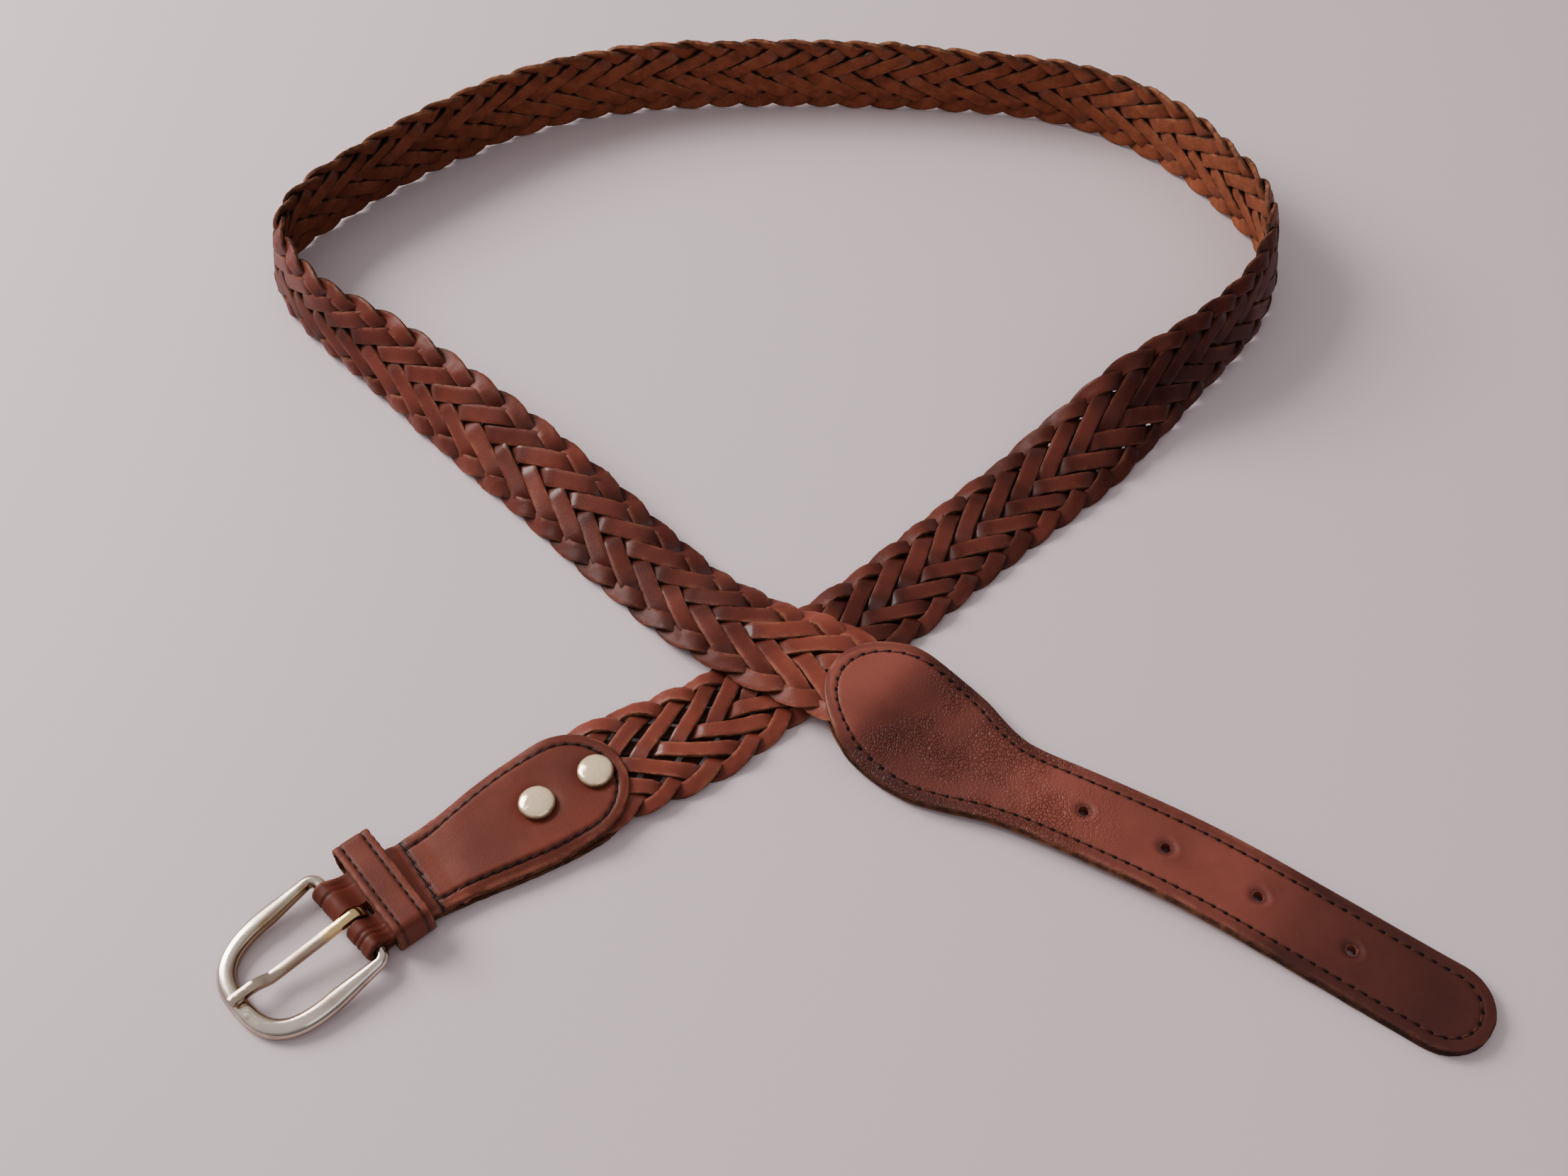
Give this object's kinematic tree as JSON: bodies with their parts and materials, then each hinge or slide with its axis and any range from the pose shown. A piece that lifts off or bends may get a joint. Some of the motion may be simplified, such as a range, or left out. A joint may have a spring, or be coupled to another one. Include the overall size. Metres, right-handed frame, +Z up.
{
  "type": "braided belt",
  "caption": "Leather belt braided from flat strands, laid in a crossed loop, with a stitched tip, a riveted chape, a keeper and a prong buckle.",
  "frame": {"origin": "centre of the bounding box, at the surface the belt lies on", "axes": "+Z up from that surface, +Y away from the buckle and the tip towards the back of the loop, +X towards the tip's side"},
  "size_m": [0.3352, 0.3526, 0.0295],
  "materials": {
    "braid": "semi-gloss grain on the strands' faces, raw edges",
    "strap": "semi-gloss fine grain, stitched",
    "nickel": "polished nickel"
  },
  "bodies": {
    "belt": {"braid_band": "braid", "chape": "strap", "keeper": "strap", "tip_top": "strap", "tip_bottom": "strap", "rivet_end": "nickel", "rivet_inner": "nickel"},
    "buckle_frame": {"buckle_frame": "nickel"},
    "prong": {"prong": "nickel"}
  },
  "joints": [
    {"name": "frame_hinge", "type": "hinge", "parent": "belt", "child": "buckle_frame", "pos_m": [-0.11063, -0.14245, 0.0044], "axis": [-0.6997, 0.7145, 0], "range_deg": [0, 30]},
    {"name": "prong_hinge", "type": "hinge", "parent": "buckle_frame", "child": "prong", "pos_m": [-0.11063, -0.14245, 0.0044], "axis": [-0.6997, 0.7145, 0], "range_deg": [0, 70]}
  ]
}
